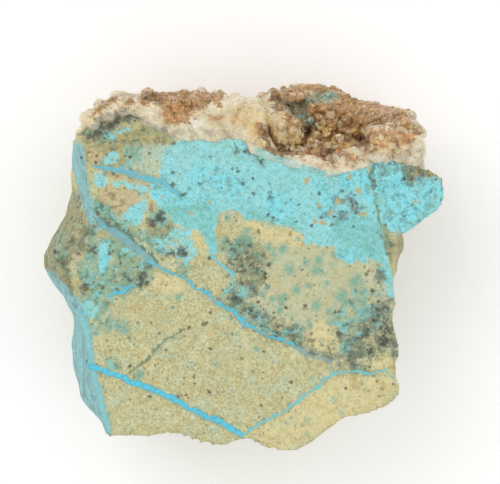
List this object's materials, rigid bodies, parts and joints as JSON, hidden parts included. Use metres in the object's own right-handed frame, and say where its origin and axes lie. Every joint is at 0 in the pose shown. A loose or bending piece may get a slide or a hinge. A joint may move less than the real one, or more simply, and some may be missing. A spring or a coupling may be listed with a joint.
{
  "type": "descrespignyite specimen",
  "caption": "Hand specimen of tan altered rock with turquoise veins and crusts, edged by a drusy quartz rind with an open crystal-lined hollow, lying face up.",
  "frame": {"origin": "middle of the flat back's plane, under the middle of the whole piece", "axes": "+Z out of the show face, +Y towards the quartz rind, +X to the right as the show face is looked at with the rind at the top"},
  "size_m": [0.0523, 0.0483, 0.0239],
  "materials": {
    "rock": "matte",
    "quartz": "satin",
    "druse": "satin"
  },
  "bodies": {
    "root": {"matrix": "rock", "quartz_crust": "quartz", "vug_crystals": "druse"}
  },
  "joints": []
}
